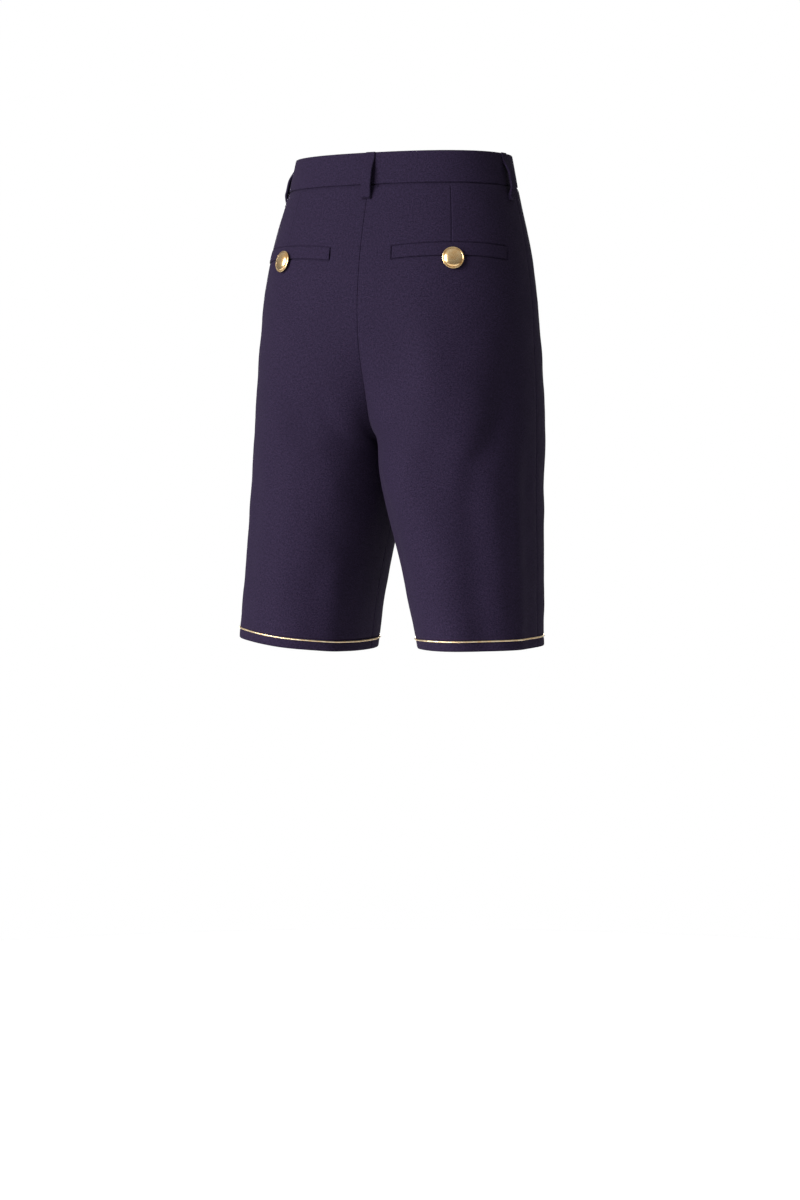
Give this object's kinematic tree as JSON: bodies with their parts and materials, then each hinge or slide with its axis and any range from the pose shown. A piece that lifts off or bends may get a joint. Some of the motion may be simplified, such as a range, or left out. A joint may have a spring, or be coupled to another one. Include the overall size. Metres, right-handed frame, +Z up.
{
  "type": "bermuda shorts",
  "caption": "Tailored knee-length shorts in dark wool crepe, worn form: waistband with belt loops, fly, back welt pockets, metal cord round each hem.",
  "frame": {"origin": "centre of the waist opening, at the middle height of the waistband", "axes": "+Z up, the wearer's front faces -Y, the wearer's left side is +X"},
  "size_m": [0.3466, 0.233, 0.5471],
  "materials": {
    "wool_crepe": "fine matte crepe, dark aubergine",
    "gold_metal": "polished pale gold",
    "dark_horn": "satin, dark, horn-like"
  },
  "bodies": {
    "root": {"front_left": "wool_crepe", "front_right": "wool_crepe", "back_left": "wool_crepe", "back_right": "wool_crepe", "waistband": "wool_crepe", "fly_shield": "wool_crepe", "welt_left": "wool_crepe", "welt_right": "wool_crepe", "belt_loop_back": "wool_crepe", "belt_loop_side_left": "wool_crepe", "belt_loop_side_right": "wool_crepe", "belt_loop_front_left": "wool_crepe", "belt_loop_front_right": "wool_crepe", "pocket_button_left": "gold_metal", "pocket_button_right": "gold_metal", "hem_cord_left": "gold_metal", "hem_cord_right": "gold_metal", "waist_button": "dark_horn"}
  },
  "joints": []
}
